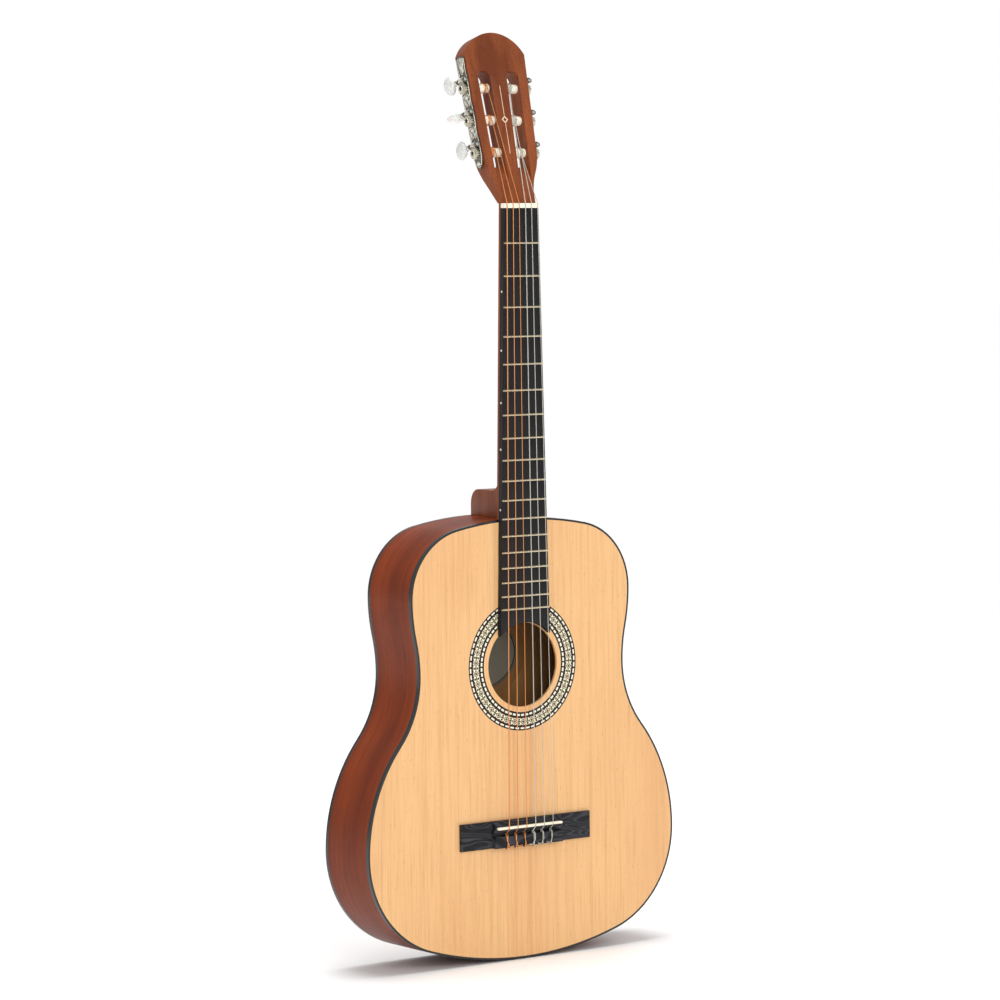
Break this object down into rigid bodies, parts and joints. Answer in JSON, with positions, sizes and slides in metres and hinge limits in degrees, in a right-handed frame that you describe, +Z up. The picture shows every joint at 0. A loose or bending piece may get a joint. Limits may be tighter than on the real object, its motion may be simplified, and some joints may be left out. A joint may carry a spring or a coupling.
{
  "type": "classical guitar",
  "caption": "Hollow wooden body with a round sound hole, a fretted neck, a slotted head with geared string rollers, and strings from tie bridge to rollers.",
  "frame": {"origin": "on the centre line at the tail, in the plane of the soundboard's outer face", "axes": "+Z up the neck, +Y from the soundboard to the back, +X towards the treble (thinnest) string"},
  "size_m": [0.398, 0.0932, 0.9767],
  "materials": {
    "spruce_top": "thin satin lacquer over fine straight grain",
    "mahogany_body": "satin reddish-brown stain, fine pores",
    "mahogany_neck": "satin reddish-brown stain, fine pores",
    "inner_wood": "raw unfinished softwood",
    "black_binding": "polished black strip",
    "rosette_inlay": "lacquered mosaic of small dyed wood pieces between black and white rings",
    "bridge_wood": "dark open-grained wood with grey streaks, satin",
    "bone": "polished ivory-coloured bone substitute",
    "black_board": "dyed black fingerboard wood, low sheen",
    "fret_metal": "polished nickel silver wire",
    "dot_white": "white plastic",
    "label_paper": "uncoated paper",
    "tuner_nickel": "stamped nickel-plated sheet and turned shafts",
    "gear_metal": "machined brass gear",
    "roller_plastic": "ivory-coloured moulded plastic",
    "button_pearl": "pearly white plastic",
    "nylon_string": "clear nylon",
    "wound_string": "copper-coloured metal winding"
  },
  "bodies": {
    "guitar": {"soundboard": "spruce_top", "back_plate": "mahogany_body", "side_bass": "mahogany_body", "side_treble": "mahogany_body", "linings": "inner_wood", "soundboard_braces": "inner_wood", "back_braces": "inner_wood", "neck_block": "inner_wood", "tail_block": "inner_wood", "top_binding": "black_binding", "back_binding": "black_binding", "rosette": "rosette_inlay", "bridge": "bridge_wood", "saddle": "bone", "neck": "mahogany_neck", "headstock": "mahogany_neck", "fingerboard": "black_board", "nut": "bone", "frets": "fret_metal", "side_dots": "dot_white", "label": "label_paper", "tuner_plate_bass": "tuner_nickel", "tuner_plate_treble": "tuner_nickel", "tuner_plate_screws": "tuner_nickel", "string_1": "nylon_string", "string_2": "nylon_string", "string_3": "nylon_string", "string_4": "wound_string", "string_5": "wound_string", "string_6": "wound_string"},
    "worm_1": {"worm_shaft_1": "tuner_nickel", "tuner_button_1": "button_pearl"},
    "roller_1": {"string_roller_1": "roller_plastic", "worm_gear_1": "gear_metal", "string_wrap_1": "nylon_string"},
    "worm_2": {"worm_shaft_2": "tuner_nickel", "tuner_button_2": "button_pearl"},
    "roller_2": {"string_roller_2": "roller_plastic", "worm_gear_2": "gear_metal", "string_wrap_2": "nylon_string"},
    "worm_3": {"worm_shaft_3": "tuner_nickel", "tuner_button_3": "button_pearl"},
    "roller_3": {"string_roller_3": "roller_plastic", "worm_gear_3": "gear_metal", "string_wrap_3": "nylon_string"},
    "worm_4": {"worm_shaft_4": "tuner_nickel", "tuner_button_4": "button_pearl"},
    "roller_4": {"string_roller_4": "roller_plastic", "worm_gear_4": "gear_metal", "string_wrap_4": "wound_string"},
    "worm_5": {"worm_shaft_5": "tuner_nickel", "tuner_button_5": "button_pearl"},
    "roller_5": {"string_roller_5": "roller_plastic", "worm_gear_5": "gear_metal", "string_wrap_5": "wound_string"},
    "worm_6": {"worm_shaft_6": "tuner_nickel", "tuner_button_6": "button_pearl"},
    "roller_6": {"string_roller_6": "roller_plastic", "worm_gear_6": "gear_metal", "string_wrap_6": "wound_string"}
  },
  "joints": [
    {"name": "worm_1_turn", "type": "hinge", "parent": "guitar", "child": "worm_1", "pos_m": [0.03915, 0.02358, 0.85741], "axis": [0, 0.9703, -0.2419], "continuous": true},
    {"name": "roller_1_turn", "type": "hinge", "parent": "guitar", "child": "roller_1", "pos_m": [0.01586, 0.02172, 0.84994], "axis": [0.9994, -0.0084, -0.0339], "continuous": true},
    {"name": "worm_2_turn", "type": "hinge", "parent": "guitar", "child": "worm_2", "pos_m": [0.04037, 0.03205, 0.89135], "axis": [0, 0.9703, -0.2419], "continuous": true},
    {"name": "roller_2_turn", "type": "hinge", "parent": "guitar", "child": "roller_2", "pos_m": [0.01709, 0.03018, 0.88388], "axis": [0.9994, -0.0084, -0.0339], "continuous": true},
    {"name": "worm_3_turn", "type": "hinge", "parent": "guitar", "child": "worm_3", "pos_m": [0.04159, 0.04051, 0.92529], "axis": [0, 0.9703, -0.2419], "continuous": true},
    {"name": "roller_3_turn", "type": "hinge", "parent": "guitar", "child": "roller_3", "pos_m": [0.01831, 0.03865, 0.91782], "axis": [0.9994, -0.0084, -0.0339], "continuous": true},
    {"name": "worm_4_turn", "type": "hinge", "parent": "guitar", "child": "worm_4", "pos_m": [-0.04159, 0.04051, 0.92529], "axis": [0, 0.9703, -0.2419], "continuous": true},
    {"name": "roller_4_turn", "type": "hinge", "parent": "guitar", "child": "roller_4", "pos_m": [-0.01831, 0.03865, 0.91782], "axis": [0.9994, 0.0084, 0.0339], "continuous": true},
    {"name": "worm_5_turn", "type": "hinge", "parent": "guitar", "child": "worm_5", "pos_m": [-0.04037, 0.03205, 0.89135], "axis": [0, 0.9703, -0.2419], "continuous": true},
    {"name": "roller_5_turn", "type": "hinge", "parent": "guitar", "child": "roller_5", "pos_m": [-0.01709, 0.03018, 0.88388], "axis": [0.9994, 0.0084, 0.0339], "continuous": true},
    {"name": "worm_6_turn", "type": "hinge", "parent": "guitar", "child": "worm_6", "pos_m": [-0.03915, 0.02358, 0.85741], "axis": [0, 0.9703, -0.2419], "continuous": true},
    {"name": "roller_6_turn", "type": "hinge", "parent": "guitar", "child": "roller_6", "pos_m": [-0.01586, 0.02172, 0.84994], "axis": [0.9994, 0.0084, 0.0339], "continuous": true}
  ],
  "couplings": [
    {"joint": "roller_1_turn", "follows": "worm_1_turn", "ratio": 0.071429},
    {"joint": "roller_2_turn", "follows": "worm_2_turn", "ratio": 0.071429},
    {"joint": "roller_3_turn", "follows": "worm_3_turn", "ratio": 0.071429},
    {"joint": "roller_4_turn", "follows": "worm_4_turn", "ratio": -0.071429},
    {"joint": "roller_5_turn", "follows": "worm_5_turn", "ratio": -0.071429},
    {"joint": "roller_6_turn", "follows": "worm_6_turn", "ratio": -0.071429}
  ]
}
